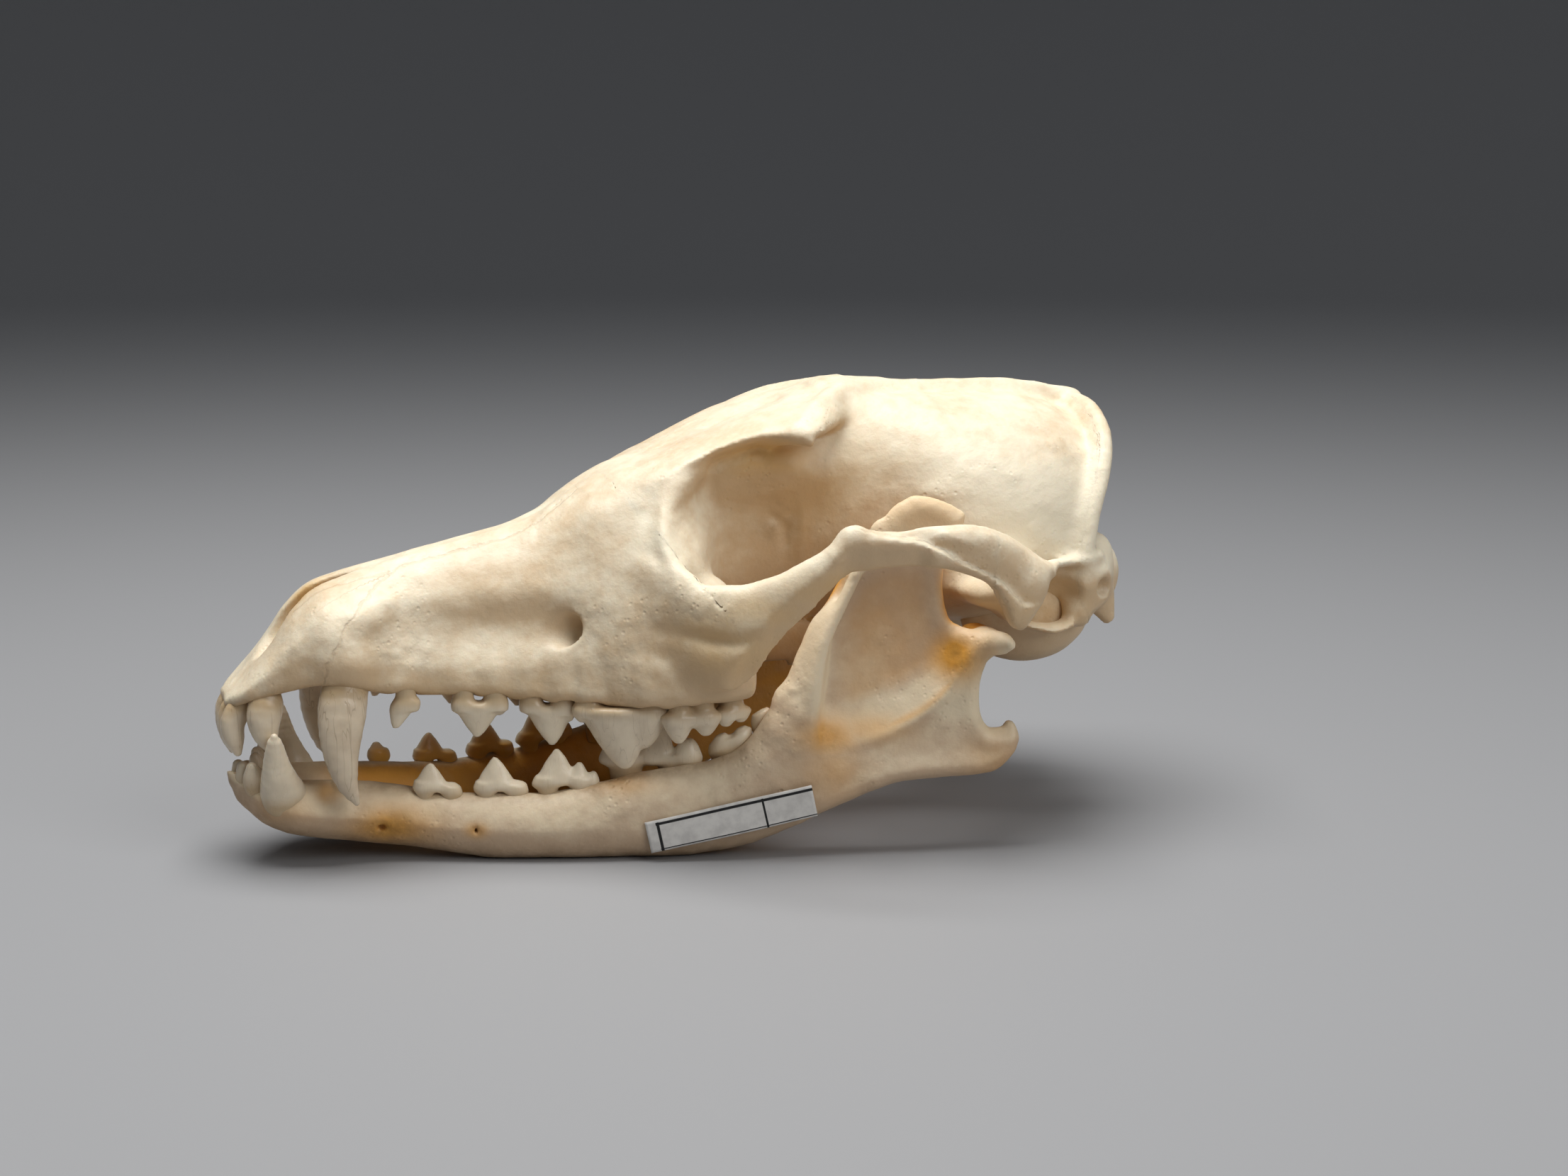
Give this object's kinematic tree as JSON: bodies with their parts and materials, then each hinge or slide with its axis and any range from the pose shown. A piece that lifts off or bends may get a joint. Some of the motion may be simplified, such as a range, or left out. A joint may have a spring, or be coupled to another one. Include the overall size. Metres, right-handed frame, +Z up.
{
  "type": "jackal skull",
  "caption": "Dry jackal skull with its lower jaw, resting on the jaw's lower borders with the chin raised, a blank paper label on the left jaw half.",
  "frame": {"origin": "on the table, below the middle of the skull's bounding box", "axes": "+X towards the back of the head, so the teeth face -X; +Y towards the animal's right; +Z up from the table"},
  "size_m": [0.152, 0.0842, 0.0737],
  "materials": {
    "bone": "dry cleaned bone, cream, slightly waxy",
    "jaw_bone": "dry bone, tan, slightly waxy",
    "paper": "plain matte paper"
  },
  "bodies": {
    "root": {"rostrum": "bone", "braincase": "bone", "occiput": "bone", "cheekbone_left": "bone", "cheekbone_right": "bone", "bulla_left": "bone", "bulla_right": "bone", "mandible_left": "jaw_bone", "mandible_right": "jaw_bone", "label": "paper"}
  },
  "joints": []
}
